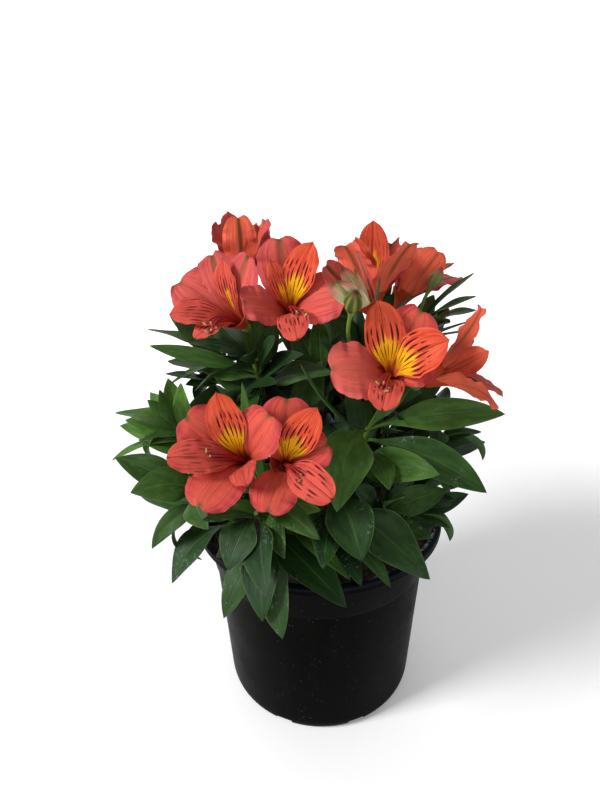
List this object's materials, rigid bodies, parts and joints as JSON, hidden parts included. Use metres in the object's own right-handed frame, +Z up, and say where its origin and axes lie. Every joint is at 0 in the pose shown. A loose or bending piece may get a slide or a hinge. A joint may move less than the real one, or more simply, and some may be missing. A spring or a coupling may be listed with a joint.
{
  "type": "potted peruvian lily",
  "caption": "Peruvian lily in a round black nursery pot: leafy stems, coral-orange streaked blooms, a half-open bloom and green buds.",
  "frame": {"origin": "centre of the pot's flat underside", "axes": "+Z up along the pot's axis; -Y is the side that the picture shows; +X to the right as that side is seen"},
  "size_m": [0.2667, 0.2279, 0.3567],
  "materials": {
    "black_plastic": "satin black moulded plastic",
    "potting_soil": "dark crumbly potting soil",
    "green_leaf": "soft, slightly waxy green leaf",
    "coral_tepals": "soft coral petal"
  },
  "bodies": {
    "root": {"pot": "black_plastic", "soil": "potting_soil", "stem_right": "green_leaf", "stem_left": "green_leaf", "stem_middle": "green_leaf", "stem_front": "green_leaf", "stem_budding": "green_leaf", "shoot_left": "green_leaf", "shoot_left_low": "green_leaf", "shoot_front": "green_leaf", "shoot_front_right": "green_leaf", "shoot_right": "green_leaf", "shoot_right_low": "green_leaf", "shoot_left_high": "green_leaf", "shoot_front_left": "green_leaf", "shoot_centre": "green_leaf", "shoot_back_right": "green_leaf", "shoot_back": "green_leaf", "shoot_back_left": "green_leaf", "shoot_back_low": "green_leaf", "shoot_left_back": "green_leaf", "shoot_middle": "green_leaf", "shoot_inner_left": "green_leaf", "shoot_inner_right": "green_leaf", "bloom_right": "coral_tepals", "bloom_right_side": "coral_tepals", "bloom_left": "coral_tepals", "bloom_left_outer": "coral_tepals", "bloom_left_top": "coral_tepals", "bloom_back": "coral_tepals", "bloom_back_far": "coral_tepals", "bloom_low_left": "coral_tepals", "bloom_low_middle": "coral_tepals", "bloom_half_open": "coral_tepals"}
  },
  "joints": []
}
